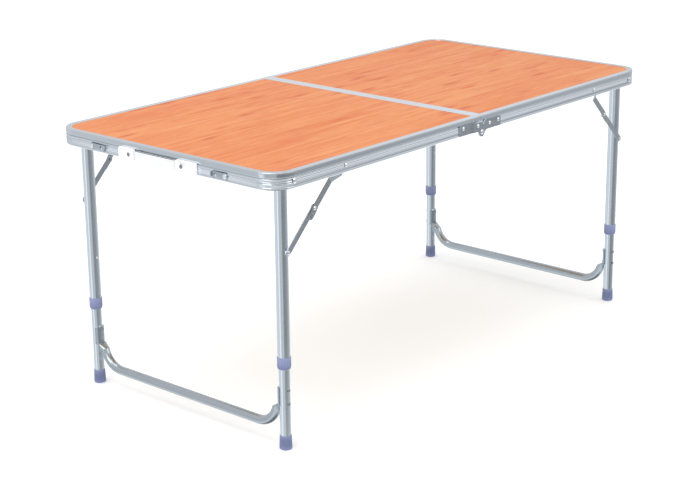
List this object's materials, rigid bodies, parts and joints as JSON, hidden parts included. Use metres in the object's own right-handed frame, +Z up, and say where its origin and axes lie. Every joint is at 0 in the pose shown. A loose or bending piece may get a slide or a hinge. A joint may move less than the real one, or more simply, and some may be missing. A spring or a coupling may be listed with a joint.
{
  "type": "folding camping table",
  "caption": "Suitcase-folding camping table: two framed board halves on a seam hinge, braced folding leg sets with telescopic feet, side handle and hook latches.",
  "frame": {"origin": "on the floor, under the middle of the hinge seam", "axes": "+Z up, +X along the length of the open table towards the half without the handle, +Y across"},
  "size_m": [1.2126, 0.6112, 0.548],
  "materials": {
    "board_print": "printed bamboo pattern under clear lacquer",
    "rail_aluminium": "extruded, satin",
    "tube_aluminium": "drawn tube, brushed along its length",
    "lilac_plastic": "injection moulded, satin",
    "white_plastic": "injection moulded, soft gloss",
    "strip_steel": "stamped and zinc plated",
    "rivet_metal": "domed heads, polished",
    "spring_steel": "blue-grey spring temper",
    "dark_steel": "black oxide"
  },
  "bodies": {
    "left_half": {"board_left": "board_print", "edge_frame_left": "rail_aluminium", "centre_rail_left": "rail_aluminium", "hinge_rivets_left": "rivet_metal", "leg_pivot_rivets_left": "rivet_metal", "leg_spacers_left": "white_plastic", "brace_rail_rivets_left": "rivet_metal", "hinge_leaf_left_front": "strip_steel", "hinge_leaf_left_back": "strip_steel", "handle_strap": "white_plastic", "handle_bases": "white_plastic", "handle_screws": "dark_steel", "latch_rivets": "rivet_metal"},
    "left_leg_set": {"leg_upper_left_front": "tube_aluminium", "leg_upper_left_back": "tube_aluminium", "collars_left": "lilac_plastic", "brace_leg_rivets_left": "rivet_metal"},
    "left_lower_legs": {"leg_lower_left_front": "tube_aluminium", "leg_lower_left_back": "tube_aluminium", "foot_caps_left": "lilac_plastic", "crossbar_left": "tube_aluminium", "crossbar_rivets_left": "dark_steel", "button_springs_left": "spring_steel"},
    "left_brace_upper": {"brace_upper_left_front": "strip_steel", "brace_upper_left_back": "strip_steel", "knee_rivets_left": "rivet_metal"},
    "left_brace_lower": {"brace_lower_left_front": "strip_steel", "brace_lower_left_back": "strip_steel"},
    "left_button_front": {"snap_button_left_front": "rivet_metal"},
    "left_button_back": {"snap_button_left_back": "rivet_metal"},
    "right_half": {"board_right": "board_print", "edge_frame_right": "rail_aluminium", "centre_rail_right": "rail_aluminium", "hinge_rivets_right": "rivet_metal", "leg_pivot_rivets_right": "rivet_metal", "leg_spacers_right": "white_plastic", "brace_rail_rivets_right": "rivet_metal", "hinge_leaf_right_front": "strip_steel", "hinge_leaf_right_back": "strip_steel", "catch_studs": "rivet_metal"},
    "right_leg_set": {"leg_upper_right_front": "tube_aluminium", "leg_upper_right_back": "tube_aluminium", "collars_right": "lilac_plastic", "brace_leg_rivets_right": "rivet_metal"},
    "right_lower_legs": {"leg_lower_right_front": "tube_aluminium", "leg_lower_right_back": "tube_aluminium", "foot_caps_right": "lilac_plastic", "crossbar_right": "tube_aluminium", "crossbar_rivets_right": "dark_steel", "button_springs_right": "spring_steel"},
    "right_brace_upper": {"brace_upper_right_front": "strip_steel", "brace_upper_right_back": "strip_steel", "knee_rivets_right": "rivet_metal"},
    "right_brace_lower": {"brace_lower_right_front": "strip_steel", "brace_lower_right_back": "strip_steel"},
    "right_button_front": {"snap_button_right_front": "rivet_metal"},
    "right_button_back": {"snap_button_right_back": "rivet_metal"},
    "hinge_pins": {"hinge_pins": "rivet_metal"},
    "latch_front": {"latch_hook_front": "strip_steel"},
    "latch_back": {"latch_hook_back": "strip_steel"}
  },
  "joints": [
    {"name": "top_fold_left", "type": "hinge", "parent": "hinge_pins", "child": "left_half", "pos_m": [0, 0, 0.515], "axis": [0, 1, 0], "range_deg": [-90, 0]},
    {"name": "top_fold_right", "type": "hinge", "parent": "hinge_pins", "child": "right_half", "pos_m": [0, 0, 0.515], "axis": [0, -1, 0], "range_deg": [-90, 0]},
    {"name": "leg_fold_left", "type": "hinge", "parent": "left_half", "child": "left_leg_set", "pos_m": [-0.551, 0, 0.53], "axis": [0, 1, 0], "range_deg": [-90, 0]},
    {"name": "leg_height_left", "type": "slide", "parent": "left_leg_set", "child": "left_lower_legs", "axis": [0, 0, -1], "range_m": [0, 0.077], "deforming": ["snap_button_left_front", "snap_button_left_back"]},
    {"name": "brace_upper_left", "type": "hinge", "parent": "left_half", "child": "left_brace_upper", "pos_m": [-0.411, 0, 0.53], "axis": [0, 1, 0], "range_deg": [0, 45]},
    {"name": "brace_lower_left", "type": "hinge", "parent": "left_leg_set", "child": "left_brace_lower", "pos_m": [-0.551, 0, 0.39], "axis": [0, 1, 0], "range_deg": [-45, 0]},
    {"name": "button_left_front", "type": "slide", "parent": "left_lower_legs", "child": "left_button_front", "axis": [0, -1, 0], "range_m": [0, 0.0042], "stiffness_N_per_m": 900, "deforming": ["button_springs_left"]},
    {"name": "button_left_back", "type": "slide", "parent": "left_lower_legs", "child": "left_button_back", "axis": [0, 1, 0], "range_m": [0, 0.0042], "stiffness_N_per_m": 900, "deforming": ["button_springs_left"]},
    {"name": "leg_fold_right", "type": "hinge", "parent": "right_half", "child": "right_leg_set", "pos_m": [0.551, 0, 0.53], "axis": [0, -1, 0], "range_deg": [-90, 0]},
    {"name": "leg_height_right", "type": "slide", "parent": "right_leg_set", "child": "right_lower_legs", "axis": [0, 0, -1], "range_m": [0, 0.077], "deforming": ["snap_button_right_front", "snap_button_right_back"]},
    {"name": "brace_upper_right", "type": "hinge", "parent": "right_half", "child": "right_brace_upper", "pos_m": [0.411, 0, 0.53], "axis": [0, -1, 0], "range_deg": [0, 45]},
    {"name": "brace_lower_right", "type": "hinge", "parent": "right_leg_set", "child": "right_brace_lower", "pos_m": [0.551, 0, 0.39], "axis": [0, -1, 0], "range_deg": [-45, 0]},
    {"name": "button_right_front", "type": "slide", "parent": "right_lower_legs", "child": "right_button_front", "axis": [0, -1, 0], "range_m": [0, 0.0042], "stiffness_N_per_m": 900, "deforming": ["button_springs_right"]},
    {"name": "button_right_back", "type": "slide", "parent": "right_lower_legs", "child": "right_button_back", "axis": [0, 1, 0], "range_m": [0, 0.0042], "stiffness_N_per_m": 900, "deforming": ["button_springs_right"]},
    {"name": "latch_turn_back", "type": "hinge", "parent": "left_half", "child": "latch_back", "pos_m": [-0.6, 0.19, 0.526], "axis": [-1, 0, 0], "range_deg": [-90, 0]},
    {"name": "latch_turn_front", "type": "hinge", "parent": "left_half", "child": "latch_front", "pos_m": [-0.6, -0.174, 0.526], "axis": [1, 0, 0], "range_deg": [-90, 0]}
  ],
  "couplings": [
    {"joint": "brace_upper_left", "follows": "leg_fold_left", "ratio": -0.5},
    {"joint": "brace_lower_left", "follows": "leg_fold_left", "ratio": 0.5},
    {"joint": "brace_upper_right", "follows": "leg_fold_right", "ratio": -0.5},
    {"joint": "brace_lower_right", "follows": "leg_fold_right", "ratio": 0.5}
  ]
}
